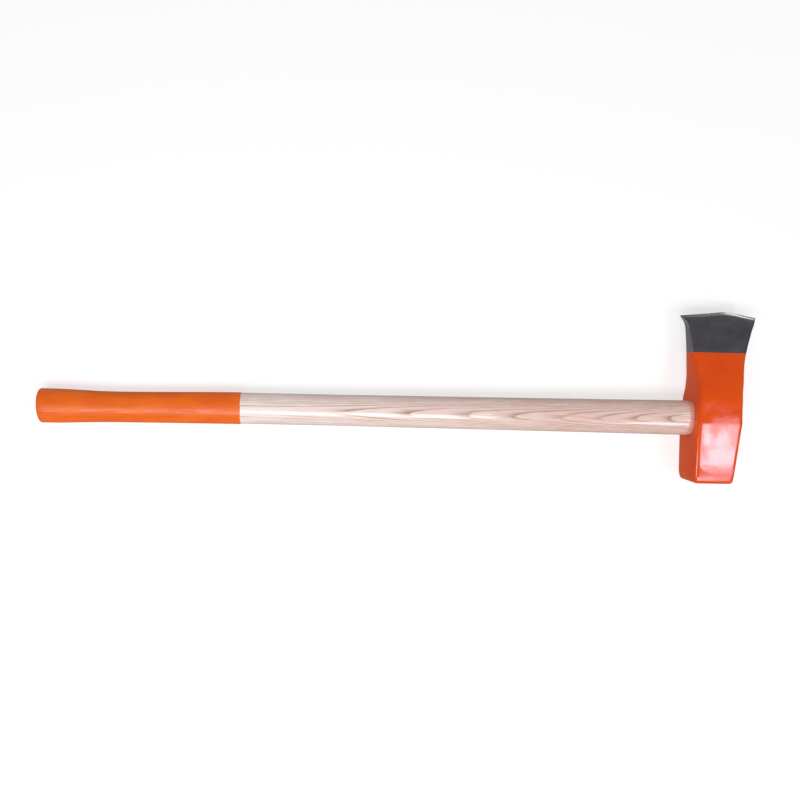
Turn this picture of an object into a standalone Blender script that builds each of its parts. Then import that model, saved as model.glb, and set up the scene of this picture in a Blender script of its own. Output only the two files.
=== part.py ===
"""Splitting maul: forged wedge head, ash handle with a dipped grip, wooden wedge and steel ring wedge.

Frame: the maul lies flat on one cheek of its head. +X runs along the handle towards the head, +Y towards
the cutting edge and +Z up. The origin is at the middle of the footprint, on the plane of the lower cheek.
"""
import math

import bmesh
import bpy
import numpy as np

MM = 0.001

# Driving dimensions of the whole tool
OVERALL_LENGTH = 850 * MM       # butt of the handle to the toe of the edge
HEAD_HEIGHT = 206 * MM          # poll face to the highest point of the edge
HEAD_THICKNESS = 58 * MM        # across the cheeks at the eye
POLL_TO_HANDLE = 77.2 * MM      # poll face to the handle's centre line

BUTT_X = -OVERALL_LENGTH / 2
POLL_Y = -HEAD_HEIGHT / 2
EDGE_Y = HEAD_HEIGHT / 2
HANDLE_Y = POLL_Y + POLL_TO_HANDLE
HANDLE_Z = HEAD_THICKNESS / 2
FIT_GAP = 0.3 * MM              # kept between pieces that touch on the real tool

# Outlines of the head, in mm. The first number of each pair is the height (Y), the second the X or the
# thickness there. The underside faces the handle, the top side is where the handle's end shows.
UNDERSIDE = [(-103, 348.6), (-92, 347.2), (-47, 347.2), (-22, 347.8), (-4, 349.2), (12, 350.5), (24, 349.8),
             (40, 346.8), (60, 343.4), (80, 340.2), (88, 338.9), (94, 336.9), (99, 333.9), (103, 331.7)]
TOP_SIDE = [(-103, 394.5), (-86, 396.2), (-36, 401.6), (-30, 402.4), (0, 402.5), (18, 404.8), (40, 408.4),
            (60, 414.1), (80, 420.1), (96, 424.2), (103, 425.0)]
THICKNESS = [(-103, 49.5), (-92, 53.1), (-38, 57.4), (-30, 58), (-4, 58), (3, 55.9), (58, 20.5), (70, 14.5),
             (99, 2.4), (103, 0.9)]
# Height (Y) of the cutting edge along X: nearly straight from the heel, then curving down to the toe
EDGE_LINE = [(331.7, 97.6), (352, 99.5), (372, 101.5), (386, 103), (397, 102.0), (411, 99.4), (425, 96.7)]
HEAD_CORNER_RADIUS = 4.6 * MM   # long edges between the cheeks and the narrow sides
CORNER_SHARE = 0.9              # most of the half thickness that such an edge may take
POLL_EDGE_RADIUS = 3.6 * MM     # rim of the striking face
EDGE_BEND_START_Y = 50 * MM     # below this height the cross-sections are level
# Heights (Y) of the head's cross-sections, in mm, closer together where the cheeks begin to taper
BODY_STATIONS = [-99.4, -92, -86, -62, -42, -38, -34, -30, -20, -12, -4, -1, 3, 10, 18, 26, 34, 42, 50]
BIT_STATIONS = [*np.linspace(58, 98.5, 9), 100.5, 103]

# Handle: half of its height (Y) along X, in mm, and its other proportions
HANDLE_HALF_HEIGHT = [(-425, 19.6), (-400, 19.4), (-376, 18.6), (-354, 17.8), (-330, 17.5), (-300, 17.6),
                      (-191, 18.3), (-100, 18.3), (0, 18.8), (100, 19.3), (200, 19.9), (300, 20.6),
                      (348, 20.9), (380, 20.9), (405, 21.9)]
HANDLE_FLATNESS = 0.82          # thickness (Z) over height (Y)
HANDLE_ROUNDNESS = 2.15         # exponent of the oval section, 2 is an ellipse
GRIP_DROP = 1.6 * MM            # the grip end curves this much towards the poll
GRIP_DROP_FROM_X = -170 * MM
GRIP_DROP_TO_X = -355 * MM
BUTT_EDGE_RADIUS = 5.5 * MM
BUTT_LEAN = 0.045               # the butt's face is sawn a little out of square, shorter at the poll side
BUTT_LEAN_LENGTH = 40 * MM
HANDLE_ENTRY_X = 348 * MM       # where it enters the eye
HANDLE_END_X = 405 * MM         # the end stands a little proud of the head's top side
EYE_STATIONS = [x * MM for x in (365, 380, 388, 396)]  # cross-sections inside the eye
STEP_LENGTH = 0.01 * MM         # of the step down to the slimmer wood under the coating

# Dipped coating on the grip
COATING_END_X = -191 * MM
COATING_THICKNESS = 0.5 * MM
COATING_PROUD = 0.4 * MM        # how far it stands above the bare wood

# Wooden wedge in the handle's end, and the steel ring wedge driven in over it
WEDGE_DEPTH = 38 * MM
WEDGE_TOP_HALF = 2.6 * MM
WEDGE_TIP_HALF = 0.5 * MM
WEDGE_REACH = 30 * MM           # half of the slab's height, more than the handle's oval that it is cut to
KERF_DEPTH = 44 * MM
KERF_HALF = 0.9 * MM
RING_DEPTH = 16 * MM
RING_RADIUS = 10.5 * MM         # middle of the ring's wall
RING_WALL_TOP_HALF = 1.2 * MM
RING_WALL_TIP_HALF = 0.35 * MM

CUTTER_REACH = 8 * MM           # how far the cutting shapes run past the faces they open
SECTION_POINTS = 32
CORNER_STEPS = 4
CHEEK_STEPS = 12
ROUND_STEPS = 4
LENGTH_STEPS = 12               # sections along the grip, and along the bare wood up to the head


def follow(outline, at):
    """Read a smooth curve through an outline of (position, value) pairs in mm; metres in and out."""
    positions = np.array([pair[0] for pair in outline], dtype=float)
    values = np.array([pair[1] for pair in outline], dtype=float)
    steps = np.diff(positions)
    slopes = np.diff(values) / steps
    tangents = np.empty_like(values)
    tangents[0] = slopes[0]
    tangents[-1] = slopes[-1]
    for i in range(1, len(values) - 1):
        before, after = slopes[i - 1], slopes[i]
        tangents[i] = 0.0 if before * after <= 0 else 2 * before * after / (before + after)
    position = min(max(at / MM, positions[0]), positions[-1])
    i = min(int(np.searchsorted(positions, position, side="right")) - 1, len(steps) - 1)
    t = (position - positions[i]) / steps[i]
    value = ((2 * t**3 - 3 * t**2 + 1) * values[i] + (t**3 - 2 * t**2 + t) * steps[i] * tangents[i]
             + (3 * t**2 - 2 * t**3) * values[i + 1] + (t**3 - t**2) * steps[i] * tangents[i + 1])
    return value * MM


def smooth_step(value, start, end):
    t = min(max((value - start) / (end - start), 0.0), 1.0)
    return t * t * (3 - 2 * t)


def round_over(radius):
    """Pairs of (distance from the end face, inset) along a quarter-round edge."""
    angles = [math.pi / 2 * step / ROUND_STEPS for step in range(ROUND_STEPS)]
    return [(radius * (1 - math.cos(angle)), radius * (1 - math.sin(angle))) for angle in angles]


def loft(name, rings):
    """A closed solid through rings of equal point count, capped at both ends."""
    mesh = bpy.data.meshes.new(name)
    bm = bmesh.new()
    loops = [[bm.verts.new(point) for point in ring] for ring in rings]
    for lower, upper in zip(loops, loops[1:]):
        for i in range(len(lower)):
            j = (i + 1) % len(lower)
            bm.faces.new((lower[i], lower[j], upper[j], upper[i]))
    bm.faces.new(loops[0])
    bm.faces.new(loops[-1])
    bmesh.ops.recalc_face_normals(bm, faces=bm.faces)
    bm.to_mesh(mesh)
    bm.free()
    part = bpy.data.objects.new(name, mesh)
    bpy.context.collection.objects.link(part)
    return part


def as_cutter(part):
    part.hide_render = True
    part.display_type = "WIRE"
    return part


def cut(part, cutter, operation="DIFFERENCE"):
    modifier = part.modifiers.new(cutter.name, "BOOLEAN")
    modifier.operation = operation
    modifier.solver = "EXACT"
    modifier.object = cutter


def finish(part, color, roughness, metallic, smooth_below=35):
    """Give a piece its material, and smooth shading up to an angle in degrees."""
    material = bpy.data.materials.new(part.name)
    material.use_nodes = True
    shader = material.node_tree.nodes["Principled BSDF"]
    shader.inputs["Base Color"].default_value = (*color, 1)
    shader.inputs["Roughness"].default_value = roughness
    shader.inputs["Metallic"].default_value = metallic
    part.data.materials.append(material)
    part.data.shade_smooth()
    part.data.set_sharp_from_angle(angle=math.radians(smooth_below))


# Head

def head_section(station, inset=0.0):
    """Rounded rectangle around the head at one height; near the edge it bends to follow the edge line."""
    left = follow(UNDERSIDE, station) + inset
    right = follow(TOP_SIDE, station) - inset
    half = follow(THICKNESS, station) / 2 - inset
    radius = min(HEAD_CORNER_RADIUS - inset, CORNER_SHARE * half)
    bend = max((station - EDGE_BEND_START_Y) / (EDGE_Y - EDGE_BEND_START_Y), 0.0) ** 2
    corners = [(right - radius, half - radius), (left + radius, half - radius),
               (left + radius, radius - half), (right - radius, radius - half)]
    outline = []
    for quarter, (corner_x, corner_z) in enumerate(corners):
        for step in range(CORNER_STEPS + 1):
            angle = math.pi / 2 * (quarter + step / CORNER_STEPS)
            outline.append((corner_x + radius * math.cos(angle), corner_z + radius * math.sin(angle)))
        if quarter in (0, 2):
            start, end = corners[quarter][0], corners[quarter + 1][0]
            outline += [(start + (end - start) * step / CHEEK_STEPS, outline[-1][1])
                        for step in range(1, CHEEK_STEPS)]
    ring = []
    for x, z in outline:
        edge_drop = EDGE_Y - follow(EDGE_LINE, x)
        ring.append((x, station - bend * edge_drop, HANDLE_Z + z))
    return ring


def handle_section(x, grow=0.0):
    """Oval around the handle's centre line, which drops a little towards the poll at the grip."""
    half_height = follow(HANDLE_HALF_HEIGHT, x)
    half_width = half_height * HANDLE_FLATNESS + grow
    half_height += grow
    centre_y = HANDLE_Y - GRIP_DROP * smooth_step(x, GRIP_DROP_FROM_X, GRIP_DROP_TO_X)
    lean = BUTT_LEAN * (1 - smooth_step(x, BUTT_X, BUTT_X + BUTT_LEAN_LENGTH))
    ring = []
    for i in range(SECTION_POINTS):
        angle = 2 * math.pi * i / SECTION_POINTS
        cosine, sine = math.cos(angle), math.sin(angle)
        y = centre_y + half_height * math.copysign(abs(cosine) ** (2 / HANDLE_ROUNDNESS), cosine)
        z = HANDLE_Z + half_width * math.copysign(abs(sine) ** (2 / HANDLE_ROUNDNESS), sine)
        ring.append((x + lean * (centre_y + half_height - y), y, z))
    return ring


def build_head():
    stations = [(POLL_Y + distance, inset) for distance, inset in round_over(POLL_EDGE_RADIUS)]
    stations += [(height * MM, 0.0) for height in [*BODY_STATIONS, *BIT_STATIONS]]
    head = loft("maul_head", [head_section(*station) for station in stations])
    eye = [follow(UNDERSIDE, HANDLE_Y) - CUTTER_REACH, *EYE_STATIONS, HANDLE_END_X]
    eye_rings = [handle_section(x, FIT_GAP) for x in eye]
    past_end = [(x + CUTTER_REACH, y, z) for x, y, z in eye_rings[-1]]
    cut(head, as_cutter(loft("eye_cutter", [*eye_rings, past_end])))
    finish(head, color=(0.66, 0.09, 0.015), roughness=0.35, metallic=0.0)


# Wedges

def wedge_section(x, half_width):
    corners = [(WEDGE_REACH, half_width), (-WEDGE_REACH, half_width),
               (-WEDGE_REACH, -half_width), (WEDGE_REACH, -half_width)]
    return [(x, HANDLE_Y + y, HANDLE_Z + z) for y, z in corners]


def wedge_slab(name, grow=0.0):
    """Long taper across the whole oval of the handle's end."""
    return loft(name, [wedge_section(HANDLE_END_X - WEDGE_DEPTH - grow, WEDGE_TIP_HALF + grow),
                       wedge_section(HANDLE_END_X + grow, WEDGE_TOP_HALF + grow)])


def ring_tube(name, grow=0.0):
    """Steel ring with a wall that tapers to a blunt edge, as a turned tube along X."""
    tip_x = HANDLE_END_X - RING_DEPTH - grow
    top_x = HANDLE_END_X + grow
    wall = [(tip_x, -RING_WALL_TIP_HALF - grow), (top_x, -RING_WALL_TOP_HALF - grow),
            (top_x, RING_WALL_TOP_HALF + grow), (tip_x, RING_WALL_TIP_HALF + grow)]
    mesh = bpy.data.meshes.new(name)
    bm = bmesh.new()
    columns = []
    for i in range(SECTION_POINTS):
        angle = 2 * math.pi * i / SECTION_POINTS
        cosine, sine = math.cos(angle), math.sin(angle)
        columns.append([bm.verts.new((x, HANDLE_Y + (RING_RADIUS + side) * cosine,
                                      HANDLE_Z + (RING_RADIUS + side) * sine)) for x, side in wall])
    for i, column in enumerate(columns):
        after = columns[(i + 1) % SECTION_POINTS]
        for j in range(len(wall)):
            k = (j + 1) % len(wall)
            bm.faces.new((column[j], column[k], after[k], after[j]))
    bmesh.ops.recalc_face_normals(bm, faces=bm.faces)
    bm.to_mesh(mesh)
    bm.free()
    ring = bpy.data.objects.new(name, mesh)
    bpy.context.collection.objects.link(ring)
    return ring


def build_wedges():
    """The wooden wedge is the slab cut to the handle's oval; the ring wedge crosses it."""
    wedge = wedge_slab("wooden_wedge")
    end_rings = [handle_section(x) for x in (HANDLE_ENTRY_X, *EYE_STATIONS, HANDLE_END_X)]
    past_end = [(x + CUTTER_REACH, y, z) for x, y, z in end_rings[-1]]
    cut(wedge, as_cutter(loft("end_shape", [*end_rings, past_end])), "INTERSECT")
    ring_cutter = as_cutter(ring_tube("ring_cutter", FIT_GAP))
    cut(wedge, ring_cutter)
    finish(wedge, color=(0.45, 0.27, 0.14), roughness=0.6, metallic=0.0)
    ring = ring_tube("ring_wedge")
    finish(ring, color=(0.35, 0.35, 0.36), roughness=0.4, metallic=1.0)
    return ring_cutter


# Handle and coating

def build_handle(ring_cutter):
    """Ash handle: slimmer under the coating, and running through the eye to the slotted end."""
    under_coating = COATING_PROUD - COATING_THICKNESS - FIT_GAP
    butt_x = BUTT_X + COATING_THICKNESS + FIT_GAP
    rings = [handle_section(butt_x + distance, under_coating - inset)
             for distance, inset in round_over(BUTT_EDGE_RADIUS)]
    step_x = COATING_END_X + FIT_GAP
    grip = np.linspace(butt_x + BUTT_EDGE_RADIUS, step_x, LENGTH_STEPS)
    shaft = np.linspace(step_x + STEP_LENGTH, HANDLE_ENTRY_X, LENGTH_STEPS)
    rings += [handle_section(x, under_coating) for x in grip]
    rings += [handle_section(x) for x in (*shaft, *EYE_STATIONS, HANDLE_END_X)]
    handle = loft("handle", rings)
    kerf = loft("kerf_cutter", [wedge_section(HANDLE_END_X - KERF_DEPTH, KERF_HALF),
                                wedge_section(HANDLE_END_X + CUTTER_REACH, KERF_HALF)])
    cut(handle, as_cutter(kerf))
    cut(handle, as_cutter(wedge_slab("wedge_cutter", FIT_GAP)))
    cut(handle, ring_cutter)
    finish(handle, color=(0.62, 0.45, 0.34), roughness=0.35, metallic=0.0)


def build_coating():
    """Thin cup over the grip: up the inside from the butt, round the rim, and back along the outside."""
    inner_grow = COATING_PROUD - COATING_THICKNESS
    lengths = np.linspace(BUTT_X + BUTT_EDGE_RADIUS + COATING_THICKNESS, COATING_END_X, LENGTH_STEPS)
    inner_butt = BUTT_X + COATING_THICKNESS
    inside = [handle_section(inner_butt + distance, inner_grow - inset)
              for distance, inset in round_over(BUTT_EDGE_RADIUS)]
    inside += [handle_section(x, inner_grow) for x in lengths]
    outside = [handle_section(BUTT_X + distance, COATING_PROUD - inset)
               for distance, inset in round_over(BUTT_EDGE_RADIUS + COATING_THICKNESS)]
    outside += [handle_section(x, COATING_PROUD) for x in lengths]
    coating = loft("grip_coating", [*inside, *reversed(outside)])
    finish(coating, color=(0.80, 0.15, 0.015), roughness=0.3, metallic=0.0)


for leftover in list(bpy.data.objects):
    bpy.data.objects.remove(leftover)

build_head()
build_handle(build_wedges())
build_coating()
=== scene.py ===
# Looks of the splitting maul: enamelled forged head with a bare bit, lacquered ash handle, dipped grip,
# beech wedge and steel ring wedge, shown lying on a pale studio floor and seen from straight above.
import math

import bmesh
import bpy
from mathutils import Matrix, Vector


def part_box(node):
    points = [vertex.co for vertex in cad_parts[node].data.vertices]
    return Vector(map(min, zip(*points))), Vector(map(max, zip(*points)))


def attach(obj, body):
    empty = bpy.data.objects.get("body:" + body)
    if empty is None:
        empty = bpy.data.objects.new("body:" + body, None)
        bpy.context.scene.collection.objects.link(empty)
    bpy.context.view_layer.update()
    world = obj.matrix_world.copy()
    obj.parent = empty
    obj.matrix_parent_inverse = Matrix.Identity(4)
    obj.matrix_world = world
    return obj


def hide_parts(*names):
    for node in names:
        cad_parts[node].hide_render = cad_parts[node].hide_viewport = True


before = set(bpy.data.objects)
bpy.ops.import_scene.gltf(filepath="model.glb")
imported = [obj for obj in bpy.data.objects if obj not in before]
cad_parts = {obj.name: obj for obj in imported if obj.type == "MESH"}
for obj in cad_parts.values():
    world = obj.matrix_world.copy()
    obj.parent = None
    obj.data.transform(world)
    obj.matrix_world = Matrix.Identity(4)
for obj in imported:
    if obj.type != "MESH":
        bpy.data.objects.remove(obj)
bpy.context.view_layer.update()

mm = 0.001
samePoint = 1e-6            # metres; points closer than this are one
sliceSlack = 1e-7
smoothAngle = 34            # degrees; edges that turn by more than this stay crisp
headLow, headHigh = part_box("maul_head")
gripLow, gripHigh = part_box("grip_coating")
ringLow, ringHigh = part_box("ring_wedge")
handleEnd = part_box("handle")[1].x
axisY = (ringLow.y + ringHigh.y) / 2        # the handle's centre line, which the ring wedge is turned around
axisZ = (headLow.z + headHigh.z) / 2
print("frame loaded:", ", ".join(sorted(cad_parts)))


def readCurve(points, at):
    # smooth curve through hand-set points, with no overshoot between them
    slopes = [(b[1] - a[1]) / (b[0] - a[0]) for a, b in zip(points, points[1:])]
    tangents = [slopes[0]]
    for before, after in zip(slopes, slopes[1:]):
        tangents.append(0.0 if before * after <= 0 else 2 * before * after / (before + after))
    tangents.append(slopes[-1])
    at = min(max(at, points[0][0]), points[-1][0])
    i = max(k for k in range(len(slopes)) if points[k][0] <= at)
    step = points[i + 1][0] - points[i][0]
    t = (at - points[i][0]) / step
    return ((2 * t**3 - 3 * t**2 + 1) * points[i][1] + (t**3 - 2 * t**2 + t) * step * tangents[i]
            + (3 * t**2 - 2 * t**3) * points[i + 1][1] + (t**3 - t**2) * step * tangents[i + 1])


def smoothStep(value, start, end):
    t = min(max((value - start) / (end - start), 0.0), 1.0)
    return t * t * (3 - 2 * t)


def spread(start, end, count):
    return [start + (end - start) * k / count for k in range(count + 1)]


def quarterRound(depth, width, steps):
    # (distance from the end face, inset) along a rounded rim, the last point left to the next station
    turns = [math.pi / 2 * k / steps for k in range(steps)]
    return [(depth * (1 - math.cos(a)), width * (1 - math.sin(a))) for a in turns]


def drawOut(bm, cap, first):
    # pulls the cap out by one section; the first face stays as the closed start, later ones are deleted
    grown = bmesh.ops.extrude_face_region(bm, geom=cap)["geom"]
    if not first:
        bmesh.ops.delete(bm, geom=[face for face in cap if face.is_valid], context="FACES")
    return ([e for e in grown if isinstance(e, bmesh.types.BMFace)],
            [e for e in grown if isinstance(e, bmesh.types.BMVert)])


def makePiece(name, bm, materials=()):
    mesh = bpy.data.meshes.new(name)
    bmesh.ops.recalc_face_normals(bm, faces=bm.faces)
    bm.to_mesh(mesh)
    bm.free()
    for material in materials:
        mesh.materials.append(material)
    mesh.shade_smooth()
    mesh.set_sharp_from_angle(angle=math.radians(smoothAngle))
    piece = bpy.data.objects.new(name, mesh)
    bpy.context.collection.objects.link(piece)
    return piece


def carve(piece, cutters):
    # exact cuts, applied at once, and the cutters thrown away
    for cutter in cutters:
        cut = piece.modifiers.new("cut", "BOOLEAN")
        cut.operation = "DIFFERENCE"
        cut.solver = "EXACT"
        cut.object = cutter
    carved = bpy.data.meshes.new_from_object(piece.evaluated_get(bpy.context.evaluated_depsgraph_get()))
    piece.modifiers.clear()
    piece.data = carved
    carved.name = piece.name
    carved.set_sharp_from_angle(angle=math.radians(smoothAngle))
    for cutter in cutters:
        bpy.data.objects.remove(cutter)


def linear(hexColour):
    channels = [int(hexColour[k:k + 2], 16) / 255 for k in (1, 3, 5)]
    return (*[c / 12.92 if c <= 0.04045 else ((c + 0.055) / 1.055) ** 2.4 for c in channels], 1.0)


def addNode(tree, kind, values=None, links=None, stops=None, **settings):
    # one node with its settings, its fixed socket values, its incoming links and, for a ramp, its stops
    node = tree.nodes.new(kind)
    for name, value in settings.items():
        setattr(node, name, value)
    for socket, value in (values or {}).items():
        node.inputs[socket].default_value = value
    for socket, source in (links or {}).items():
        tree.links.new(source, node.inputs[socket])
    for k, (place, colour) in enumerate(stops or []):
        stop = node.color_ramp.elements[k] if k < 2 else node.color_ramp.elements.new(place)
        stop.position = place
        stop.color = linear(colour)
    return node


def newMaterial(name):
    material = bpy.data.materials.new(name)
    material.use_nodes = True
    tree = material.node_tree
    tree.nodes.clear()
    place = addNode(tree, "ShaderNodeTexCoord").outputs["Object"]
    return material, tree, place


def finishMaterial(tree, values, links):
    shader = addNode(tree, "ShaderNodeBsdfPrincipled", values, links)
    addNode(tree, "ShaderNodeOutputMaterial", links={"Surface": shader.outputs["BSDF"]})


# Camera, about a metre over the middle of the handle
cameraSetup = {
    "place": (-0.0642, 0.0316, 1.0610),
    "turn": (-2.501, -3.286, 1.411),        # degrees, nearly straight down
    "lens": 39.15,
    "sensor": 36,
}

cameraData = bpy.data.cameras.new("benchCamera")
cameraData.lens = cameraSetup["lens"]
cameraData.sensor_width = cameraSetup["sensor"]
camera = bpy.data.objects.new("benchCamera", cameraData)
camera.location = cameraSetup["place"]
camera.rotation_euler = [math.radians(a) for a in cameraSetup["turn"]]
bpy.context.collection.objects.link(camera)
bpy.context.scene.camera = camera
bpy.context.scene.view_settings.view_transform = "Standard"
print("camera set")


# Enamel, sprayed over a forging: high gloss, an orange-peel skin, the hammered face showing through it,
# and small chips of dark steel along the long edges
enamel = {
    "skin": [(0.35, "#D14504"), (0.62, "#D84C04")],
    "drift": 35.7 * mm,         # the colour wanders between the two over about this length
    "gloss": (0.06, 0.19),      # the roughness drifts between these, so that a reflection is uneven
    "glossSpan": (0.35, 0.65),
    "dullPatch": 22 * mm,
    "peel": 1.8 * mm,           # width of one orange-peel cell
    "peelDepth": 0.010 * mm,
    "forging": 16 * mm,         # width of one hammered hollow
    "forgingDepth": 0.11 * mm,
    "chip": "#3A2C2A",
    "chipSize": 0.9 * mm,
    "chipWear": 0.30,           # how much a worn edge adds to the chance of a chip
    "chipOnset": (0.93, 0.96),
    "chipDulling": 0.35,        # roughness added in a chip
    "ior": 1.5,
}


def enamelPaint():
    material, tree, place = newMaterial("sprayedEnamel")
    peel = addNode(tree, "ShaderNodeTexNoise", {"Scale": 1 / enamel["peel"], "Detail": 1.0},
                   {"Vector": place})
    hollows = addNode(tree, "ShaderNodeTexNoise", {"Scale": 1 / enamel["forging"], "Detail": 2.0},
                      {"Vector": place})
    peelBump = addNode(tree, "ShaderNodeBump", {"Strength": 1.0, "Distance": enamel["peelDepth"]},
                       {"Height": peel.outputs["Fac"]})
    bump = addNode(tree, "ShaderNodeBump", {"Strength": 1.0, "Distance": enamel["forgingDepth"]},
                   {"Height": hollows.outputs["Fac"], "Normal": peelBump.outputs["Normal"]})
    drift = addNode(tree, "ShaderNodeTexNoise", {"Scale": 1 / enamel["drift"], "Detail": 3.0},
                    {"Vector": place})
    skin = addNode(tree, "ShaderNodeValToRGB", links={"Fac": drift.outputs["Fac"]}, stops=enamel["skin"])
    specks = addNode(tree, "ShaderNodeTexNoise", {"Scale": 1 / enamel["chipSize"], "Detail": 2.0},
                     {"Vector": place})
    wear = addNode(tree, "ShaderNodeAttribute", attribute_name="edgeWear")
    worn = addNode(tree, "ShaderNodeMath", {1: enamel["chipWear"]}, {0: wear.outputs["Fac"]},
                   operation="MULTIPLY")
    chance = addNode(tree, "ShaderNodeMath", links={0: specks.outputs["Fac"], 1: worn.outputs[0]},
                     operation="ADD")
    chipped = addNode(tree, "ShaderNodeMapRange",
                      {"From Min": enamel["chipOnset"][0], "From Max": enamel["chipOnset"][1]},
                      {"Value": chance.outputs[0]})
    colour = addNode(tree, "ShaderNodeMix", {"B": linear(enamel["chip"])},
                     {"Factor": chipped.outputs["Result"], "A": skin.outputs["Color"]}, data_type="RGBA")
    dulling = addNode(tree, "ShaderNodeTexNoise", {"Scale": 1 / enamel["dullPatch"], "Detail": 2.0},
                      {"Vector": place})
    sheen = addNode(tree, "ShaderNodeMapRange",
                    {"From Min": enamel["glossSpan"][0], "From Max": enamel["glossSpan"][1],
                     "To Min": enamel["gloss"][0], "To Max": enamel["gloss"][1]},
                    {"Value": dulling.outputs["Fac"]})
    gloss = addNode(tree, "ShaderNodeMath", {1: enamel["chipDulling"]},
                    {0: chipped.outputs["Result"], 2: sheen.outputs["Result"]}, operation="MULTIPLY_ADD")
    finishMaterial(tree, {"IOR": enamel["ior"]},
                   {"Base Color": colour.outputs["Result"], "Roughness": gloss.outputs[0],
                    "Normal": bump.outputs["Normal"]})
    return material


# Carbon steel, drop forged, hardened and left from the quench: dark grey with a faint violet cast, brushed
# by the scale belt along the bit, a soft sheen and no mirror
bitSteel = {
    "tones": [(0.35, "#6A696E"), (0.65, "#7D7C81")],
    "scaleCloud": 16.67 * mm,   # size of a darker cloud of quench scale
    "beltLine": 0.6 * mm,       # belt marks are finer than this, and are drawn as coarse as they need to show
    "beltStretch": 0.03,        # width of a mark over its length, so marks are 20 mm long
    "beltShare": 0.45,          # the marks' share of the pattern, the clouds have the rest
    "beltDepth": 0.006 * mm,
    "sideLighter": "#C8C0CA",     # lighter on the narrow sides
    "sideSpan": (0.45, 0.90),   # how far a face has to turn to the side to be lighter
    "roughness": (0.33, 0.47),
}


def forgedBitSteel():
    material, tree, place = newMaterial("quenchedForgedSteel")
    along = addNode(tree, "ShaderNodeMapping", {"Scale": (bitSteel["beltStretch"], 1.0, 1.0)},
                    {"Vector": place})
    belt = addNode(tree, "ShaderNodeTexNoise", {"Scale": 1 / bitSteel["beltLine"], "Detail": 2.0},
                   {"Vector": along.outputs["Vector"]})
    clouds = addNode(tree, "ShaderNodeTexNoise", {"Scale": 1 / bitSteel["scaleCloud"], "Detail": 4.0},
                     {"Vector": place})
    both = addNode(tree, "ShaderNodeMix", {"Factor": bitSteel["beltShare"]},
                   {"A": clouds.outputs["Fac"], "B": belt.outputs["Fac"]})
    colour = addNode(tree, "ShaderNodeValToRGB", links={"Fac": both.outputs["Result"]},
                     stops=bitSteel["tones"])
    # the narrow sides are made lighter, by how far a face turns to the side
    facing = addNode(tree, "ShaderNodeSeparateXYZ",
                     links={"Vector": addNode(tree, "ShaderNodeNewGeometry").outputs["True Normal"]})
    sideways = addNode(tree, "ShaderNodeMath", links={0: facing.outputs["X"]}, operation="ABSOLUTE")
    side = addNode(tree, "ShaderNodeMapRange",
                   {"From Min": bitSteel["sideSpan"][0], "From Max": bitSteel["sideSpan"][1]},
                   {"Value": sideways.outputs[0]})
    lighterSides = addNode(tree, "ShaderNodeMix", {"B": linear(bitSteel["sideLighter"])},
                      {"Factor": side.outputs["Result"], "A": colour.outputs["Color"]}, data_type="RGBA")
    roughness = addNode(tree, "ShaderNodeMapRange",
                        {"To Min": bitSteel["roughness"][0], "To Max": bitSteel["roughness"][1]},
                        {"Value": both.outputs["Result"]})
    bump = addNode(tree, "ShaderNodeBump", {"Strength": 1.0, "Distance": bitSteel["beltDepth"]},
                   {"Height": belt.outputs["Fac"]})
    finishMaterial(tree, {"Metallic": 1.0},
                   {"Base Color": lighterSides.outputs["Result"], "Roughness": roughness.outputs["Result"],
                    "Normal": bump.outputs["Normal"]})
    return material


# The same steel, freshly ground: bright, with grit lines that run over the edge
groundSteel = {
    "tones": [(0.3, "#8E8D90"), (0.7, "#BDBCBE")],
    "gritLine": 0.5 * mm,       # real grit lines are a third of this, drawn coarser so that they show
    "gritStretch": 0.05,        # width of a line over its length
    "gritDepth": 0.01 * mm,
    "roughness": (0.20, 0.34),
}


def groundEdgeSteel():
    material, tree, place = newMaterial("freshlyGroundSteel")
    stretch = groundSteel["gritStretch"]
    across = addNode(tree, "ShaderNodeMapping", {"Scale": (1.0, stretch, stretch)}, {"Vector": place})
    grit = addNode(tree, "ShaderNodeTexNoise", {"Scale": 1 / groundSteel["gritLine"], "Detail": 3.0},
                   {"Vector": across.outputs["Vector"]})
    colour = addNode(tree, "ShaderNodeValToRGB", links={"Fac": grit.outputs["Fac"]},
                     stops=groundSteel["tones"])
    roughness = addNode(tree, "ShaderNodeMapRange",
                        {"To Min": groundSteel["roughness"][0], "To Max": groundSteel["roughness"][1]},
                        {"Value": grit.outputs["Fac"]})
    bump = addNode(tree, "ShaderNodeBump", {"Strength": 1.0, "Distance": groundSteel["gritDepth"]},
                   {"Height": grit.outputs["Fac"]})
    finishMaterial(tree, {"Metallic": 1.0},
                   {"Base Color": colour.outputs["Color"], "Roughness": roughness.outputs["Result"],
                    "Normal": bump.outputs["Normal"]})
    return material


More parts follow.
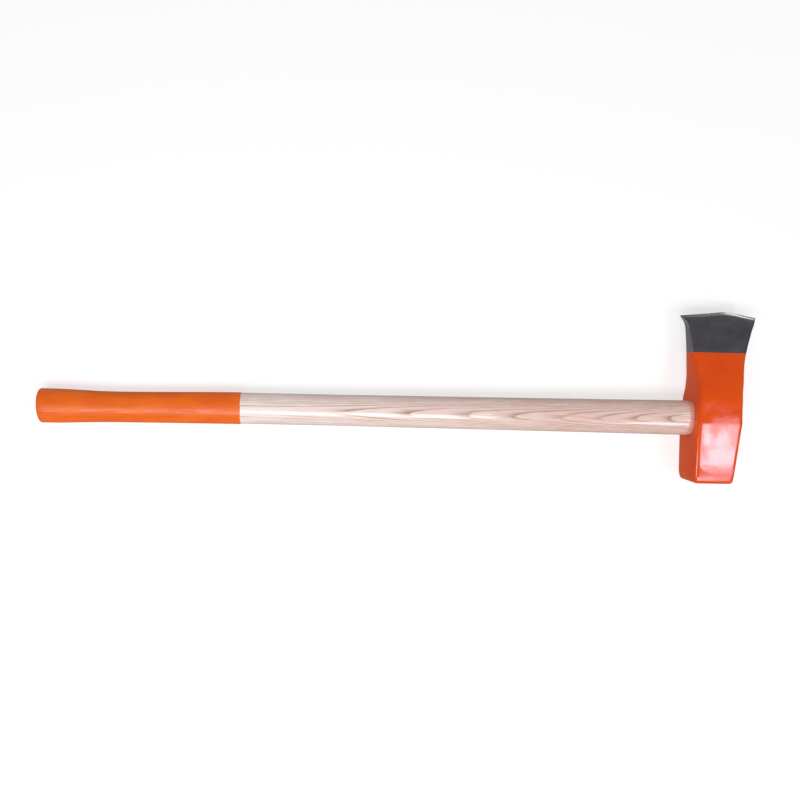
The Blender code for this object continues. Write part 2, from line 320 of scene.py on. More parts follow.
# Head, drawn out section by section from the striking face to the edge; lengths with no unit are in mm
head = {
    # height (Y) and X of the two narrow sides, height and thickness of the wedge
    "underside": [(-103, 348.6), (-92, 347.2), (-47, 347.2), (-22, 347.8), (-4, 349.2), (12, 350.5),
                  (24, 349.8), (40, 346.8), (60, 343.4), (80, 340.2), (88, 338.9), (94, 336.9), (99, 333.9),
                  (103, 331.7)],
    "topSide": [(-103, 394.5), (-86, 396.2), (-36, 401.6), (-30, 402.4), (0, 402.5), (18, 404.8),
                (40, 408.4), (60, 414.1), (80, 420.1), (96, 424.2), (103, 425.0)],
    "thickness": [(-103, 49.5), (-92, 53.1), (-38, 57.3), (-30, 57.75), (-18, 58), (-4, 58), (3, 55.9),
                  (58, 20.5), (70, 15.0), (99.4, 3.7), (103, 0.5)],
    # X and height of the cutting edge, nearly straight from the heel, then curving down to the toe
    "edgeLine": [(331.7, 97.6), (352, 99.5), (372, 101.5), (386, 103), (397, 102.0), (411, 99.4),
                 (425, 96.7)],
    # height and radius of the long edges between cheeks and narrow sides, tighter at the poll
    "cornerRadius": [(-103, 2.6), (-40, 2.8), (-12, 4.6), (103, 4.6)],
    "cornerShare": 0.9,         # the most of the half thickness that a corner takes, near the edge
    "rimPull": 0.5,             # a corner tightens by this share of the inset, round the striking face
    "cornerSteps": 6,
    "cheekSteps": 16,
    "pollRadius": 3.6,          # rim of the striking face
    "rimSteps": 6,
    "eyeSpan": (-44, 14),       # heights between which the sections stand close, round the eye
    "sectionGap": 2,            # from those sections to the next ones, below and above
    "bitFrom": 56,              # first section above the paint line
    "bevelHeights": [101.2, 102.4, 103],
    "runSteps": (14, 29, 12, 16),   # below the eye, round it, up to the paint line, up to the grind line
    "bendFrom": 50.0,           # above this height the sections bend to follow the edge
    "paintLine": 53.5,          # the enamel stops here
    "grindLine": 99.4,          # and the ground bevel starts here
    "restHeight": -26,          # where the cheek's long edge touches the floor
    "eyeGap": 0.3 * mm,
    "eyeFlare": 1.3 * mm,
    "flareSteps": 4,
    "eyeSteps": 10,
    "cutterReach": 6 * mm,      # the eye's cutter stands this far out of both mouths
}


def headSection(height, inset):
    left = readCurve(head["underside"], height) + inset
    right = readCurve(head["topSide"], height) - inset
    half = readCurve(head["thickness"], height) / 2 - inset
    radius = min(readCurve(head["cornerRadius"], height) - head["rimPull"] * inset,
                 head["cornerShare"] * half)
    return Vector((left, right, half, radius)) * mm


def cornerCentres(section):
    left, right, half, radius = section
    return [Vector((x, 0, axisZ + z)) for x in (left + radius, right - radius)
            for z in (radius - half, half - radius)]


def startSection(bm, section, height):
    # one quad, its corners rounded and the cheeks sliced, marked so that later sections know their corners
    left, right, half, radius = section
    bmesh.ops.create_grid(bm, x_segments=1, y_segments=1, size=0.5)
    stand = (Matrix.Translation(((left + right) / 2, height, axisZ)) @ Matrix.Rotation(math.pi / 2, 4, "X")
             @ Matrix.Diagonal((right - left, 2 * half, 1, 1)))
    bmesh.ops.transform(bm, matrix=stand, verts=bm.verts)
    bmesh.ops.bevel(bm, geom=bm.verts[:], offset=radius, offset_type="OFFSET", affect="VERTICES",
                    segments=head["cornerSteps"], profile=0.5, material=-1)
    for x in spread(left + radius, right - radius, head["cheekSteps"])[1:-1]:
        bmesh.ops.bisect_plane(bm, geom=bm.verts[:] + bm.edges[:] + bm.faces[:], plane_co=(x, 0, 0),
                               plane_no=(1, 0, 0), dist=sliceSlack)
    corner = bm.verts.layers.int.new("corner")
    wear = bm.verts.layers.float.new("edgeWear")
    for vert in bm.verts:
        for k, centre in enumerate(cornerCentres(section)):
            offset = Vector((vert.co.x, 0, vert.co.z)) - centre
            if abs(offset.length - radius) < samePoint:
                vert[corner] = k + 1
                vert[wear] = abs(math.sin(2 * math.atan2(offset.z, offset.x)))
    return corner


def moveSection(bm, verts, corner, old, new):
    # the corners stay round while the section between them stretches
    grow = new[3] / old[3]
    for k, (before, after) in enumerate(zip(cornerCentres(old), cornerCentres(new))):
        bmesh.ops.transform(bm, verts=[v for v in verts if v[corner] == k + 1],
                            matrix=Matrix.Translation(after) @ Matrix.Diagonal((grow, 1, grow, 1))
                            @ Matrix.Translation(-before))
    oldMiddle = Vector(((old[0] + old[1]) / 2, 0, axisZ))
    newMiddle = Vector(((new[0] + new[1]) / 2, 0, axisZ))
    stretch = (new[1] - new[0] - 2 * new[3]) / (old[1] - old[0] - 2 * old[3])
    bmesh.ops.transform(bm, verts=[v for v in verts if v[corner] == 0],
                        matrix=Matrix.Translation(newMiddle)
                        @ Matrix.Diagonal((stretch, 1, new[2] / old[2], 1)) @ Matrix.Translation(-oldMiddle))


def bendToEdge(bm):
    top = max(height for x, height in head["edgeLine"])
    for vert in bm.verts:
        rise = max(vert.co.y / mm - head["bendFrom"], 0.0) / (top - head["bendFrom"])
        vert.co.y -= rise**2 * (top - readCurve(head["edgeLine"], vert.co.x / mm)) * mm


def headStations():
    # (height, inset) of every section
    poll, rim = head["thickness"][0][0], head["pollRadius"]
    eyeFrom, eyeTo = head["eyeSpan"]
    runs = [(poll + rim, eyeFrom - head["sectionGap"]), (eyeFrom, eyeTo),
            (eyeTo + head["sectionGap"], head["paintLine"]), (head["bitFrom"], head["grindLine"])]
    stations = [(poll + distance, inset) for distance, inset in quarterRound(rim, rim, head["rimSteps"])]
    for (start, end), steps in zip(runs, head["runSteps"]):
        stations += [(height, 0.0) for height in spread(start, end, steps)]
    return stations + [(height, 0.0) for height in head["bevelHeights"]]


def forgedHead():
    bm = bmesh.new()
    stations = headStations()
    section = headSection(*stations[0])
    height = stations[0][0] * mm
    corner = startSection(bm, section, height)
    cap = bm.faces[:]
    for station in stations[1:]:
        cap, verts = drawOut(bm, cap, station is stations[1])
        bmesh.ops.translate(bm, verts=verts, vec=(0, station[0] * mm - height, 0))
        nextSection = headSection(*station)
        moveSection(bm, verts, corner, section, nextSection)
        section, height = nextSection, station[0] * mm
    for face in bm.faces:
        middle = face.calc_center_median().y / mm
        face.material_index = (middle > head["paintLine"]) + (middle > head["grindLine"])
    bendToEdge(bm)
    piece = makePiece("forgedHead", bm, [enamelPaint(), forgedBitSteel(), groundEdgeSteel()])
    carve(piece, [eyeCutter()])
    return piece


# Handle, an oval drawn out from the butt to the end in the eye, and a little slimmer under the coating
haft = {
    "halfHeight": [(-425, 19.6), (-400, 19.4), (-376, 18.6), (-354, 17.8), (-330, 17.5), (-300, 17.6),
                   (-191, 18.3), (-100, 18.3), (0, 18.8), (100, 19.3), (200, 19.9), (300, 20.6),
                   (348, 20.9), (380, 20.9), (405, 21.9)],     # X and half of the oval's height, in mm
    "flatness": 0.82,           # thickness over height
    "roundness": 2.15,          # exponent of the oval, 2 is an ellipse
    "segments": 96,
    "gripDrop": 1.6 * mm,       # the grip end curves towards the poll
    "dropFrom": -170 * mm,
    "dropTo": -355 * mm,
    "buttDepth": 4.0 * mm,      # the butt is a low dome with a tight rim
    "domeWidth": 12.5 * mm,
    "buttLean": 0.045,          # the butt is sawn a little out of square
    "leanLength": 40 * mm,
    "underCoating": 0.4 * mm,   # the wood is this much slimmer under the dip
    "stepLength": 0.01 * mm,    # and comes back to full size within this
    "woodSteps": (6, 16, 48),   # over the butt, under the dip, and bare
    "slotHalf": 0.9 * mm,       # half of the saw cut for the wedge
    "slotDepth": 44 * mm,
    "slotSpan": 60 * mm,        # wider than the oval is high
    "wedgeDepth": 38 * mm,
    "wedgeTopHalf": 2.6 * mm,
    "wedgeTipHalf": 0.5 * mm,
    "fitGap": 0.3 * mm,
}


def ovalMatrix(x, grow=0.0):
    # takes the unit oval to the handle's section at x
    halfY = readCurve(haft["halfHeight"], x / mm) * mm
    halfZ = halfY * haft["flatness"] + grow
    halfY += grow
    centreY = axisY - haft["gripDrop"] * smoothStep(x, haft["dropFrom"], haft["dropTo"])
    butt = gripLow.x
    lean = haft["buttLean"] * (1 - smoothStep(x, butt, butt + haft["leanLength"]))
    return Matrix(((1, -lean * halfY, 0, x + lean * halfY), (0, halfY, 0, centreY),
                   (0, 0, halfZ, axisZ), (0, 0, 0, 1)))


def ovalTube(sections):
    # a filled oval drawn out through (x, grow) sections; its last face closes the far end
    bm = bmesh.new()
    bmesh.ops.create_circle(bm, cap_ends=True, radius=1.0, segments=haft["segments"])
    bmesh.ops.rotate(bm, verts=bm.verts, matrix=Matrix.Rotation(math.pi / 2, 3, "Y"))
    for vert in bm.verts:       # the circle is squared up a little
        vert.co.y, vert.co.z = [math.copysign(abs(c) ** (2 / haft["roundness"]), c) for c in vert.co.yz]
    place = ovalMatrix(*sections[0])
    bmesh.ops.transform(bm, matrix=place, verts=bm.verts)
    cap = bm.faces[:]
    for section in sections[1:]:
        cap, verts = drawOut(bm, cap, section is sections[1])
        nextPlace = ovalMatrix(*section)
        bmesh.ops.transform(bm, matrix=nextPlace @ place.inverted(), verts=verts)
        place = nextPlace
    return bm


def eyeCutter():
    # follows the handle through the head and opens out at both mouths
    under = readCurve(head["underside"], axisY / mm) * mm
    over = readCurve(head["topSide"], axisY / mm) * mm
    gap, flare, reach = head["eyeGap"], head["eyeFlare"], head["cutterReach"]
    mouth = [(distance, gap + inset) for distance, inset in quarterRound(flare, flare, head["flareSteps"])]
    sections = [(under - reach, gap + flare)] + [(under + distance, grow) for distance, grow in mouth]
    sections += [(x, gap) for x in spread(under + flare, over - flare, head["eyeSteps"])]
    sections += [(over - distance, grow) for distance, grow in reversed(mouth)]
    sections += [(over + reach, gap + flare)]
    return makePiece("eyeCutter", ovalTube(sections))


def slotBlock(name, depth, tipHalf, topHalf):
    # long taper from the end of the handle inwards
    bm = bmesh.new()
    bmesh.ops.create_cube(bm, size=1.0)
    top = handleEnd + haft["fitGap"]
    for vert in bm.verts:
        half = topHalf if vert.co.x > 0 else tipHalf
        vert.co = Vector((top if vert.co.x > 0 else top - depth, axisY + haft["slotSpan"] * vert.co.y,
                          axisZ + 2 * half * vert.co.z))
    return makePiece(name, bm)


ringWedge = {
    "topHalf": 1.2 * mm,        # half of the wall at the struck end
    "tipHalf": 0.35 * mm,
    "rounding": 0.25 * mm,
    "roundingSteps": 3,
    "turnSteps": 64,
}


def ringTube(name, grow, rounding):
    # the ring's wall is one tapered quad, turned around the handle's axis
    radius = (ringHigh.y - ringLow.y) / 2 - ringWedge["topHalf"]
    bm = bmesh.new()
    bmesh.ops.create_grid(bm, x_segments=1, y_segments=1, size=0.5)
    for vert in bm.verts:
        half = (ringWedge["topHalf"] if vert.co.x > 0 else ringWedge["tipHalf"]) + grow
        vert.co = Vector((ringHigh.x + grow if vert.co.x > 0 else ringLow.x - grow,
                          axisY + radius + 2 * half * vert.co.y, axisZ))
    if rounding:
        bmesh.ops.bevel(bm, geom=bm.verts[:], offset=rounding, offset_type="OFFSET", affect="VERTICES",
                        segments=ringWedge["roundingSteps"], profile=0.5, material=-1)
    outline = bm.edges[:]
    bmesh.ops.delete(bm, geom=bm.faces[:], context="FACES_ONLY")
    bmesh.ops.spin(bm, geom=outline, cent=(0, axisY, axisZ), axis=(1, 0, 0), angle=2 * math.pi,
                   steps=ringWedge["turnSteps"], use_merge=True)
    bmesh.ops.remove_doubles(bm, verts=bm.verts, dist=samePoint)
    return makePiece(name, bm)


# Ash, turned and lacquered: pale ring-porous wood with long pore streaks, flames where the rings run out
# of the face, and a clear coat that carries one long soft highlight
ash = {
    # pink, plain, grey and pale streaks of late wood
    "streaks": [(0.34, "#D6AD9F"), (0.47, "#E2C8BB"), (0.57, "#D4BEB6"), (0.68, "#ECD6C9")],
    "streak": 2.8 * mm,
    "streakStretch": 0.06,      # width of a streak over its length
    "streakShift": (3, 1, 2),   # another part of the noise than the pores use
    "paintedLight": "#FAEFEB",      # painted light: paler towards the grip, standing in for the broad light that falls there
    "paintedLightTo": 180 * mm,
    "paintedLightShare": 0.72,
    "earlyWood": "#A98771",
    "ringSpacing": 1.33 * mm,
    # across one ring: pores thin out from its start, then smooth late wood up to the next
    "ringProfile": [(0.0, "#FFFFFF"), (0.28, "#707070"), (0.5, "#000000"), (0.93, "#000000"),
                    (1.0, "#FFFFFF")],
    "pithOver": 106.7 * mm,     # height of the tree's centre over the plane of the lower cheek
    "pithY": -29.5 * mm,
    "runOut": 0.0225,           # the rings bow by this many metres at one metre from runOutFrom
    "runOutFrom": -300 * mm,
    "grainStretch": 0.08,       # what varies along the grain is this many times finer across it
    "wander": 18.18 * mm,       # the rings wander over about this width
    "wanderRings": 1.5,         # by up to this many rings
    "pore": 0.45 * mm,          # pore width, drawn a little coarse so that it shows
    "poreStretch": 0.03,
    "poreSpan": (0.38, 0.66),
    "poreDarkening": 0.22,      # how much the pores show all over, on top of the ring lines
    "poreDepth": 0.03 * mm,
    "broken": 5.263 * mm,       # the ring lines fade in and out over this width
    "brokenSpan": (0.28, 0.56),
    "smear": "#E07B55",         # enamel wiped onto the wood where it enters the eye
    "smearFrom": 343 * mm,
    "smearTo": 360 * mm,
    "smearFade": 4 * mm,
    "smearShare": 0.6,
    "ragged": 3.125 * mm,       # its border is ragged at this size
    "raggedReach": 2.5 * mm,
    "roughness": 0.5,
    "ior": 1.45,
    "lacquerRoughness": 0.10,
    "lacquerIor": 1.5,
    "wave": 11.11 * mm,         # slow waves in the lacquer
    "waveDepth": 0.035 * mm,
}


def lacqueredAsh():
    material, tree, place = newMaterial("lacqueredAsh")
    stretch = addNode(tree, "ShaderNodeMapping", {"Scale": (ash["grainStretch"], 1.0, 1.0)},
                      {"Vector": place})
    long = stretch.outputs["Vector"]
    wander = addNode(tree, "ShaderNodeTexNoise", {"Scale": 1 / ash["wander"], "Detail": 2.0},
                     {"Vector": long})
    split = addNode(tree, "ShaderNodeSeparateXYZ", links={"Vector": place})
    fromCrest = addNode(tree, "ShaderNodeMath", {1: ash["runOutFrom"]}, {0: split.outputs["X"]},
                        operation="SUBTRACT")
    squared = addNode(tree, "ShaderNodeMath", {1: 2.0}, {0: fromCrest.outputs[0]}, operation="POWER")
    bowed = addNode(tree, "ShaderNodeMath", {1: ash["runOut"]},
                    {0: squared.outputs[0], 2: split.outputs["Z"]}, operation="MULTIPLY_ADD")
    section = addNode(tree, "ShaderNodeCombineXYZ", links={"Y": split.outputs["Y"], "Z": bowed.outputs[0]})
    radius = addNode(tree, "ShaderNodeVectorMath", {1: (0, ash["pithY"], ash["pithOver"])},
                     {0: section.outputs[0]}, operation="DISTANCE")
    count = addNode(tree, "ShaderNodeMath", {1: 1 / ash["ringSpacing"]}, {0: radius.outputs["Value"]},
                    operation="MULTIPLY")
    wandered = addNode(tree, "ShaderNodeMath", {1: ash["wanderRings"]},
                       {0: wander.outputs["Fac"], 2: count.outputs[0]}, operation="MULTIPLY_ADD")
    phase = addNode(tree, "ShaderNodeMath", links={0: wandered.outputs[0]}, operation="FRACT")
    ring = addNode(tree, "ShaderNodeValToRGB", links={"Fac": phase.outputs[0]}, stops=ash["ringProfile"])
    poreGrain = addNode(tree, "ShaderNodeMapping", {"Scale": (ash["poreStretch"], 1.0, 1.0)},
                        {"Vector": place})
    pores = addNode(tree, "ShaderNodeTexNoise", {"Scale": 1 / ash["pore"], "Detail": 2.0},
                    {"Vector": poreGrain.outputs["Vector"]})
    openPores = addNode(tree, "ShaderNodeMapRange",
                        {"From Min": ash["poreSpan"][0], "From Max": ash["poreSpan"][1]},
                        {"Value": pores.outputs["Fac"]})
    broken = addNode(tree, "ShaderNodeTexNoise", {"Scale": 1 / ash["broken"], "Detail": 3.0},
                     {"Vector": long})
    strength = addNode(tree, "ShaderNodeMapRange",
                       {"From Min": ash["brokenSpan"][0], "From Max": ash["brokenSpan"][1]},
                       {"Value": broken.outputs["Fac"]})
    line = addNode(tree, "ShaderNodeMath", links={0: ring.outputs["Color"], 1: strength.outputs["Result"]},
                   operation="MULTIPLY")
    porous = addNode(tree, "ShaderNodeMath", {1: ash["poreDarkening"]},
                     {0: openPores.outputs["Result"], 2: line.outputs[0]}, operation="MULTIPLY_ADD",
                     use_clamp=True)
    streakGrain = addNode(tree, "ShaderNodeMapping", {"Scale": (ash["streakStretch"], 1.0, 1.0),
                                                      "Location": ash["streakShift"]}, {"Vector": place})
    streaks = addNode(tree, "ShaderNodeTexNoise", {"Scale": 1 / ash["streak"], "Detail": 3.0},
                      {"Vector": streakGrain.outputs["Vector"]})
    body = addNode(tree, "ShaderNodeValToRGB", links={"Fac": streaks.outputs["Fac"]}, stops=ash["streaks"])
    # painted light: the wood is mixed to a paler tone towards the grip, where the light falls broader
    towardsGrip = addNode(tree, "ShaderNodeMapRange",
                          {"From Min": gripHigh.x, "From Max": ash["paintedLightTo"],
                           "To Min": ash["paintedLightShare"], "To Max": 0.0}, {"Value": split.outputs["X"]})
    paintedLit = addNode(tree, "ShaderNodeMix", {"B": linear(ash["paintedLight"])},
                    {"Factor": towardsGrip.outputs["Result"], "A": body.outputs["Color"]},
                    data_type="RGBA")
    wood = addNode(tree, "ShaderNodeMix", {"B": linear(ash["earlyWood"])},
                   {"Factor": porous.outputs[0], "A": paintedLit.outputs["Result"]}, data_type="RGBA")
    ragged = addNode(tree, "ShaderNodeTexNoise", {"Scale": 1 / ash["ragged"], "Detail": 3.0},
                     {"Vector": place})
    reach = addNode(tree, "ShaderNodeMath", {1: ash["raggedReach"]},
                    {0: ragged.outputs["Fac"], 2: split.outputs["X"]}, operation="MULTIPLY_ADD")
    smear = addNode(tree, "ShaderNodeMapRange",
                    {"From Min": ash["smearFrom"], "From Max": ash["smearFrom"] + ash["smearFade"],
                     "To Max": ash["smearShare"]}, {"Value": reach.outputs[0]})
    insideEye = addNode(tree, "ShaderNodeMapRange",
                        {"From Min": ash["smearTo"], "From Max": ash["smearTo"] + ash["smearFade"],
                         "To Min": 1.0, "To Max": 0.0}, {"Value": split.outputs["X"]})
    wiped = addNode(tree, "ShaderNodeMath", links={0: smear.outputs["Result"],
                                                   1: insideEye.outputs["Result"]}, operation="MULTIPLY")
    colour = addNode(tree, "ShaderNodeMix", {"B": linear(ash["smear"])},
                     {"Factor": wiped.outputs[0], "A": wood.outputs["Result"]}, data_type="RGBA")
    bump = addNode(tree, "ShaderNodeBump", {"Strength": 1.0, "Distance": ash["poreDepth"]},
                   {"Height": openPores.outputs["Result"]}, invert=True)
    waves = addNode(tree, "ShaderNodeTexNoise", {"Scale": 1 / ash["wave"], "Detail": 1.0},
                    {"Vector": long})
    coatBump = addNode(tree, "ShaderNodeBump", {"Strength": 1.0, "Distance": ash["waveDepth"]},
                       {"Height": waves.outputs["Fac"]})
    finishMaterial(tree, {"Roughness": ash["roughness"], "IOR": ash["ior"], "Coat Weight": 1.0,
                          "Coat Roughness": ash["lacquerRoughness"], "Coat IOR": ash["lacquerIor"]},
                   {"Base Color": colour.outputs["Result"], "Normal": bump.outputs["Normal"],
                    "Coat Normal": coatBump.outputs["Normal"]})
    return material


def ashHandle():
    under, gap = -haft["underCoating"], haft["fitGap"]
    buttSteps, coatedSteps, bareSteps = haft["woodSteps"]
    step = gripHigh.x + gap
    woodStart = gripLow.x + dip["wall"] + gap
    sections = [(woodStart + distance, under - inset)
                for distance, inset in quarterRound(haft["buttDepth"], haft["domeWidth"], buttSteps)]
    sections += [(x, under) for x in spread(woodStart + haft["buttDepth"], step, coatedSteps)]
    sections += [(x, 0.0) for x in spread(step + haft["stepLength"], handleEnd, bareSteps)]
    piece = makePiece("ashHandle", ovalTube(sections), [lacqueredAsh()])
    kerf = slotBlock("kerf", haft["slotDepth"], haft["slotHalf"], haft["slotHalf"])
    slot = slotBlock("slot", haft["wedgeDepth"] + 2 * gap, haft["wedgeTipHalf"] + gap,
                     haft["wedgeTopHalf"] + gap)
    ring = ringTube("ringSlot", gap, 0)
    carve(piece, [kerf, slot, ring])
    return piece


# Vinyl, dipped hot: an even orange skin with a satin sheen, and slow waves where it ran before it set
vinyl = {
    "skin": [(0.35, "#DE5E08"), (0.65, "#E7690C")],
    "runs": 14 * mm,
    "runStretch": 0.35,
    "runDepth": 0.15 * mm,
    "grain": 1.9 * mm,          # the ash's streaks telegraph through
    "grainStretch": 0.08,
    "grainDepth": 0.05 * mm,
    "grainSpan": (0.34, 0.66),
    "roughness": (0.25, 0.50),
    "ior": 1.44,
}


def dippedVinyl():
    material, tree, place = newMaterial("dippedVinyl")
    along = addNode(tree, "ShaderNodeMapping", {"Scale": (vinyl["runStretch"], 1.0, 1.0)},
                    {"Vector": place})
    runs = addNode(tree, "ShaderNodeTexNoise", {"Scale": 1 / vinyl["runs"], "Detail": 1.0},
                   {"Vector": along.outputs["Vector"]})
    grainwise = addNode(tree, "ShaderNodeMapping", {"Scale": (vinyl["grainStretch"], 1.0, 1.0)},
                        {"Vector": place})
    skin = addNode(tree, "ShaderNodeTexNoise", {"Scale": 1 / vinyl["grain"], "Detail": 3.0},
                   {"Vector": grainwise.outputs["Vector"]})
    colour = addNode(tree, "ShaderNodeValToRGB", links={"Fac": runs.outputs["Fac"]}, stops=vinyl["skin"])
    skinBump = addNode(tree, "ShaderNodeBump", {"Strength": 1.0, "Distance": vinyl["grainDepth"]},
                       {"Height": skin.outputs["Fac"]})
    bump = addNode(tree, "ShaderNodeBump", {"Strength": 1.0, "Distance": vinyl["runDepth"]},
                   {"Height": runs.outputs["Fac"], "Normal": skinBump.outputs["Normal"]})
    gloss = addNode(tree, "ShaderNodeMapRange",
                    {"From Min": vinyl["grainSpan"][0], "From Max": vinyl["grainSpan"][1],
                     "To Min": vinyl["roughness"][0], "To Max": vinyl["roughness"][1]},
                    {"Value": skin.outputs["Fac"]})
    finishMaterial(tree, {"IOR": vinyl["ior"]},
                   {"Base Color": colour.outputs["Color"], "Roughness": gloss.outputs["Result"],
                    "Normal": bump.outputs["Normal"]})
    return material


# Coating, a closed cup that follows the handle inside and out
dip = {
    "wall": 0.5 * mm,
    "proud": 0.4 * mm,          # how far it stands over the bare wood
    "rim": 0.2 * mm,            # its border is broken by this
    "insideSteps": 8,
    "outsideSteps": 12,
    "lengthSteps": 32,
}


def dippedGrip():
    wall, proud, rim = dip["wall"], dip["proud"], dip["rim"]
    depth, width = haft["buttDepth"], haft["domeWidth"]
    inside = [(gripLow.x + wall + distance, proud - wall - inset)
              for distance, inset in quarterRound(depth, width, dip["insideSteps"])]
    lengths = spread(gripLow.x + depth + wall, gripHigh.x, dip["lengthSteps"])
    inside += [(x, proud - wall) for x in lengths]
    outside = [(gripLow.x + distance, proud - inset)
               for distance, inset in quarterRound(depth + wall, width + wall, dip["outsideSteps"])]
    outside += [(x, proud) for x in lengths[:-1]] + [(gripHigh.x - rim, proud), (gripHigh.x, proud - rim)]
    return makePiece("dippedGrip", ovalTube(inside + outside[::-1]), [dippedVinyl()])


# Beech, split and driven dry: short dark flecks in a warm pinkish ground
beech = {
    "tones": [(0.36, "#8E6244"), (0.52, "#C69A74")],    # fleck and ground
    "fleckSize": 0.7 * mm,
    "fleckStretch": 0.15,
    "fleckDepth": 0.05 * mm,
    "roughness": 0.7,
}


def drySplitBeech():
    material, tree, place = newMaterial("drySplitBeech")
    along = addNode(tree, "ShaderNodeMapping", {"Scale": (beech["fleckStretch"], 1.0, 1.0)},
                    {"Vector": place})
    flecks = addNode(tree, "ShaderNodeTexNoise", {"Scale": 1 / beech["fleckSize"], "Detail": 3.0},
                     {"Vector": along.outputs["Vector"]})
    colour = addNode(tree, "ShaderNodeValToRGB", links={"Fac": flecks.outputs["Fac"]}, stops=beech["tones"])
    bump = addNode(tree, "ShaderNodeBump", {"Strength": 1.0, "Distance": beech["fleckDepth"]},
                   {"Height": flecks.outputs["Fac"]})
    finishMaterial(tree, {"Roughness": beech["roughness"]},
                   {"Base Color": colour.outputs["Color"], "Normal": bump.outputs["Normal"]})
    return material


# Mild steel, turned on a lathe and struck: fine rings around it and a dull bright face
turnedSteel = {
    "tones": [(0.35, "#77767A"), (0.65, "#A3A2A4")],
    "strikeMark": 1.111 * mm,
    "strikeDepth": 0.03 * mm,
    "toolLine": 0.35 * mm,
    "toolDepth": 0.01 * mm,
    "roughness": 0.38,
}


def turnedMildSteel():
    material, tree, place = newMaterial("turnedMildSteel")
    marks = addNode(tree, "ShaderNodeTexNoise", {"Scale": 1 / turnedSteel["strikeMark"], "Detail": 3.0},
                    {"Vector": place})
    split = addNode(tree, "ShaderNodeSeparateXYZ", links={"Vector": place})
    lines = addNode(tree, "ShaderNodeMath", {1: 2 * math.pi / turnedSteel["toolLine"]},
                    {0: split.outputs["X"]}, operation="MULTIPLY")
    wave = addNode(tree, "ShaderNodeMath", links={0: lines.outputs[0]}, operation="SINE")
    colour = addNode(tree, "ShaderNodeValToRGB", links={"Fac": marks.outputs["Fac"]},
                     stops=turnedSteel["tones"])
    fine = addNode(tree, "ShaderNodeBump", {"Strength": 1.0, "Distance": turnedSteel["toolDepth"]},
                   {"Height": wave.outputs[0]})
    bump = addNode(tree, "ShaderNodeBump", {"Strength": 1.0, "Distance": turnedSteel["strikeDepth"]},
                   {"Height": marks.outputs["Fac"], "Normal": fine.outputs["Normal"]})
    finishMaterial(tree, {"Metallic": 1.0, "Roughness": turnedSteel["roughness"]},
                   {"Base Color": colour.outputs["Color"], "Normal": bump.outputs["Normal"]})
    return material


def fitPiece(piece, node):
    # every piece rides on the tool's one body
    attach(piece, "root")
    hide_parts(node)
    print(piece.name, "done,", len(piece.data.polygons), "faces")


fitPiece(forgedHead(), "maul_head")
fitPiece(ashHandle(), "handle")
fitPiece(dippedGrip(), "grip_coating")
ringPiece = ringTube("ringWedge", 0.0, ringWedge["rounding"])
ringPiece.data.materials.append(turnedMildSteel())
fitPiece(ringPiece, "ring_wedge")

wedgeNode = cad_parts["wooden_wedge"]
wedgeWood = drySplitBeech()
wedgeNode.data.materials.clear()
wedgeNode.data.materials.append(wedgeWood)
print("wooden wedge finished in beech")


# Studio: a pale floor that the head and the butt both touch, and soft boxes overhead
studio = {
    "floorSize": 60.0,
    "floorColour": "#A6A6A5",
    "floorGlow": 0.66,          # a light table, lit from below, which thins the shadows
    "floorRoughness": 0.95,
    "fibre": 2.5 * mm,          # clumps of paper fibre, since single ones are too fine to show
    "fibreDepth": 0.02 * mm,
    "fibreStrength": 0.2,
    "soft": 0.45,               # even light from all round
    "surround": 0.21,           # dim grey that the glossy surfaces see around the soft boxes
    "seen": 0.84,               # the backdrop behind the floor
    "backdrop": "#FAFAFA",
    "boxHeight": 1.5,
    # name, middle, size, radiance and tint of each soft box
    "boxes": [
        ("longStrip", (-0.325, -0.57), (1.35, 0.56), 7.6, "#FFFFFF"),
        ("pollPanel", (1.055, -0.295), (0.23, 0.21), 20.0, "#FFEAFF"),
        ("dimPanel", (1.08, -0.56), (0.18, 0.32), 8.5, "#FFEAFF"),
        ("rimPanel", (0.97, -0.94), (0.36, 0.44), 10.0, "#FFEAFF"),
        ("toePanel", (1.95, 2.1), (0.8, 0.6), 6.0, "#FFFFFF"),
    ],
}


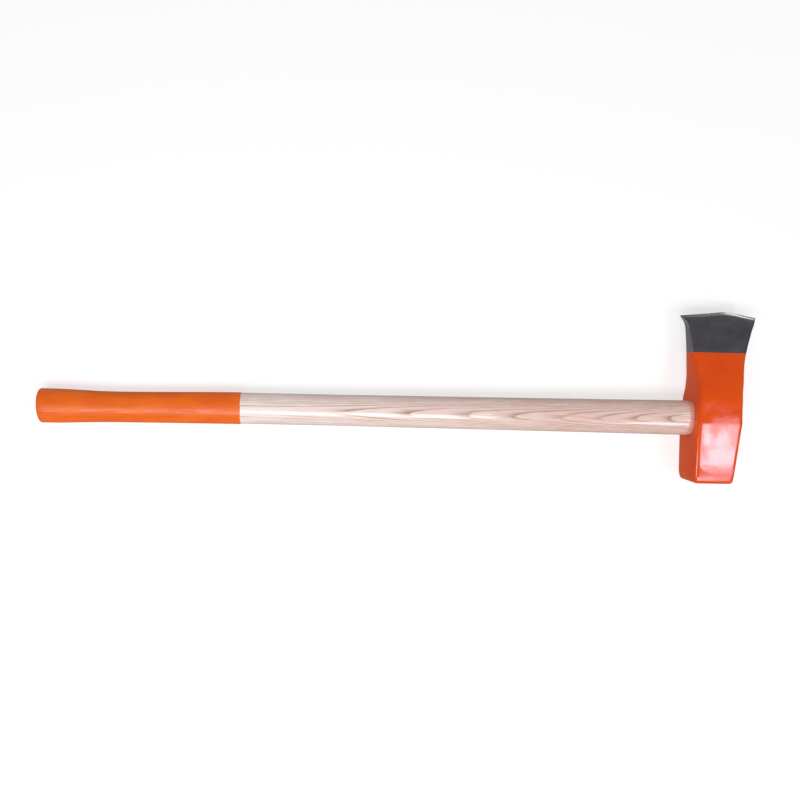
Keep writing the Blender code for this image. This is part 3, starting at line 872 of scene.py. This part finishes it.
# Matt studio paper, glowing evenly
def floorMaterial():
    material, tree, place = newMaterial("matStudioPaper")
    fibre = addNode(tree, "ShaderNodeTexNoise", {"Scale": 1 / studio["fibre"], "Detail": 3.0},
                    {"Vector": place})
    bump = addNode(tree, "ShaderNodeBump",
                   {"Strength": studio["fibreStrength"], "Distance": studio["fibreDepth"]},
                   {"Height": fibre.outputs["Fac"]})
    finishMaterial(tree, {"Base Color": linear(studio["floorColour"]), "Roughness": studio["floorRoughness"],
                          "Specular IOR Level": 0.0, "Emission Color": linear(studio["backdrop"]),
                          "Emission Strength": studio["floorGlow"]}, {"Normal": bump.outputs["Normal"]})
    return material


def layFloor():
    # the head rests on the edge of its cheek on the handle's side, and the butt on its rim
    left, right, half, radius = headSection(head["restHeight"], 0)
    cheekEdge = left + radius
    buttX = gripLow.x + haft["buttDepth"]
    slope = (gripLow.z - headLow.z) / (cheekEdge - buttX)
    bm = bmesh.new()
    bmesh.ops.create_grid(bm, x_segments=1, y_segments=1, size=studio["floorSize"] / 2)
    tilt = Matrix.Translation((cheekEdge, 0, headLow.z)) @ Matrix.Rotation(math.atan(slope), 4, "Y")
    bmesh.ops.transform(bm, matrix=tilt, verts=bm.verts)
    floor = makePiece("studioFloor", bm, [floorMaterial()])
    floor.visible_glossy = False


def hangSoftBox(name, middle, size, radiance, tint):
    # a flat panel overhead, facing straight down
    light = bpy.data.lights.new(name, "AREA")
    light.shape = "RECTANGLE"
    light.size, light.size_y = size
    light.energy = radiance * size[0] * size[1] * math.pi
    light.color = linear(tint)[:3]
    lamp = bpy.data.objects.new(name, light)
    lamp.location = (*middle, studio["boxHeight"])
    lamp.visible_camera = False
    bpy.context.collection.objects.link(lamp)


def surround():
    world = bpy.data.worlds.new("studioSurround")
    world.use_nodes = True
    tree = world.node_tree
    tree.nodes.clear()
    glow = {use: addNode(tree, "ShaderNodeBackground", {"Color": linear(studio["backdrop"]),
                                                        "Strength": studio[use]}).outputs[0]
            for use in ("soft", "surround", "seen")}
    path = addNode(tree, "ShaderNodeLightPath")
    lit = addNode(tree, "ShaderNodeMixShader", links={0: path.outputs["Is Glossy Ray"], 1: glow["soft"],
                                                      2: glow["surround"]})
    pick = addNode(tree, "ShaderNodeMixShader", links={0: path.outputs["Is Camera Ray"],
                                                       1: lit.outputs[0], 2: glow["seen"]})
    addNode(tree, "ShaderNodeOutputWorld", links={"Surface": pick.outputs[0]})
    bpy.context.scene.world = world


layFloor()
surround()
for box in studio["boxes"]:
    hangSoftBox(*box)
print("studio lit")
